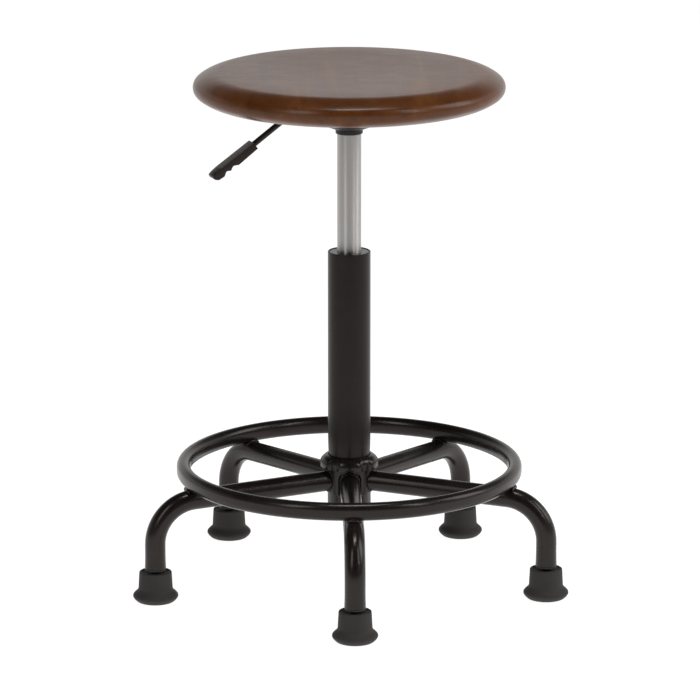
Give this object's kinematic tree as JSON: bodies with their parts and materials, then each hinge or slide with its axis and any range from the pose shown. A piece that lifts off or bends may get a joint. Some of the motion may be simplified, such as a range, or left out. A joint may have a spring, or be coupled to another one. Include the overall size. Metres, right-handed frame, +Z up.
{
  "type": "stool",
  "caption": "Height-adjustable round wooden stool on a gas lift with a release lever, bent tube legs, a foot ring and swivel bell glides.",
  "frame": {"origin": "point on the floor under the column's axis", "axes": "+Z up along the column, -Y towards the front leg, +X to the right seen from the front"},
  "size_m": [0.5098, 0.4874, 0.6133],
  "materials": {
    "walnut_wood": "satin walnut stain",
    "plate_paint": "satin black powder coat",
    "frame_paint": "satin black powder coat",
    "column_paint": "satin black",
    "lever_paint": "satin black",
    "brushed_tube": "fine ground",
    "inner_steel": "ground",
    "zinc_steel": "zinc plated",
    "stem_steel": "dark oxide",
    "cover_plastic": "semi-gloss black moulded",
    "handle_plastic": "fine textured black",
    "bush_plastic": "smooth black moulded",
    "inner_plastic": "moulded",
    "seal_rubber": "moulded",
    "glide_rubber": "matt moulded"
  },
  "bodies": {
    "base": {"hub_tube": "frame_paint", "hub_cover": "cover_plastic", "hub_welds": "frame_paint", "foot_ring": "frame_paint", "ring_welds": "frame_paint", "outer_tube": "column_paint", "foot_plate": "column_paint", "guide_bush": "bush_plastic", "bearing_lower_race": "inner_steel", "leg_1": "frame_paint", "leg_2": "frame_paint", "leg_3": "frame_paint", "leg_4": "frame_paint", "leg_5": "frame_paint", "leg_insert_1": "inner_plastic", "leg_insert_2": "inner_plastic", "leg_insert_3": "inner_plastic", "leg_insert_4": "inner_plastic", "leg_insert_5": "inner_plastic"},
    "gas_rod": {"piston_rod": "inner_steel", "piston": "inner_plastic", "rod_washer": "zinc_steel", "retaining_clip": "zinc_steel", "bearing_upper_race": "inner_steel", "rubber_bumper": "seal_rubber"},
    "ball_cage": {"bearing_cage": "inner_plastic", "bearing_balls": "inner_steel"},
    "seat_assembly": {"seat": "walnut_wood", "seat_plate": "plate_paint", "taper_socket": "plate_paint", "seat_screws": "zinc_steel", "screw_washers": "zinc_steel", "pivot_bracket": "plate_paint", "pivot_pin": "zinc_steel", "pressure_tube": "brushed_tube", "rod_guide": "inner_plastic", "rod_seal": "seal_rubber", "inner_cylinder": "inner_steel", "valve_body": "inner_steel"},
    "lever_assembly": {"lever_rod": "lever_paint", "lever_handle": "handle_plastic"},
    "valve_pin": {"release_pin": "zinc_steel"},
    "swivel_glide_1": {"glide_1": "glide_rubber", "glide_stem_1": "stem_steel"},
    "swivel_glide_2": {"glide_2": "glide_rubber", "glide_stem_2": "stem_steel"},
    "swivel_glide_3": {"glide_3": "glide_rubber", "glide_stem_3": "stem_steel"},
    "swivel_glide_4": {"glide_4": "glide_rubber", "glide_stem_4": "stem_steel"},
    "swivel_glide_5": {"glide_5": "glide_rubber", "glide_stem_5": "stem_steel"}
  },
  "joints": [
    {"name": "seat_swivel", "type": "hinge", "parent": "base", "child": "gas_rod", "pos_m": [0, 0, 0.1], "axis": [0, 0, 1], "continuous": true},
    {"name": "ball_cage_turn", "type": "hinge", "parent": "base", "child": "ball_cage", "pos_m": [0, 0, 0.1], "axis": [0, 0, 1], "continuous": true},
    {"name": "seat_lift", "type": "slide", "parent": "gas_rod", "child": "seat_assembly", "axis": [0, 0, 1], "range_m": [-0.13, 0]},
    {"name": "lever_lift", "type": "hinge", "parent": "seat_assembly", "child": "lever_assembly", "pos_m": [-0.02443, -0.00889, 0.5584], "axis": [-0.342, 0.9397, 0], "range_deg": [0, 8], "stiffness_Nm_per_rad": 2},
    {"name": "valve_press", "type": "slide", "parent": "seat_assembly", "child": "valve_pin", "axis": [0, 0, -1], "range_m": [0, 0.0041]},
    {"name": "glide_swivel_1", "type": "hinge", "parent": "base", "child": "swivel_glide_1", "pos_m": [0, -0.24, 0], "axis": [0, 0, 1], "continuous": true},
    {"name": "glide_swivel_2", "type": "hinge", "parent": "base", "child": "swivel_glide_2", "pos_m": [0.22825, -0.07416, 0], "axis": [0, 0, 1], "continuous": true},
    {"name": "glide_swivel_3", "type": "hinge", "parent": "base", "child": "swivel_glide_3", "pos_m": [0.14107, 0.19416, 0], "axis": [0, 0, 1], "continuous": true},
    {"name": "glide_swivel_4", "type": "hinge", "parent": "base", "child": "swivel_glide_4", "pos_m": [-0.14107, 0.19416, 0], "axis": [0, 0, 1], "continuous": true},
    {"name": "glide_swivel_5", "type": "hinge", "parent": "base", "child": "swivel_glide_5", "pos_m": [-0.22825, -0.07416, 0], "axis": [0, 0, 1], "continuous": true}
  ],
  "couplings": [
    {"joint": "ball_cage_turn", "follows": "seat_swivel", "ratio": 0.5},
    {"joint": "valve_press", "follows": "lever_lift", "m_per_rad": 0.0275}
  ]
}
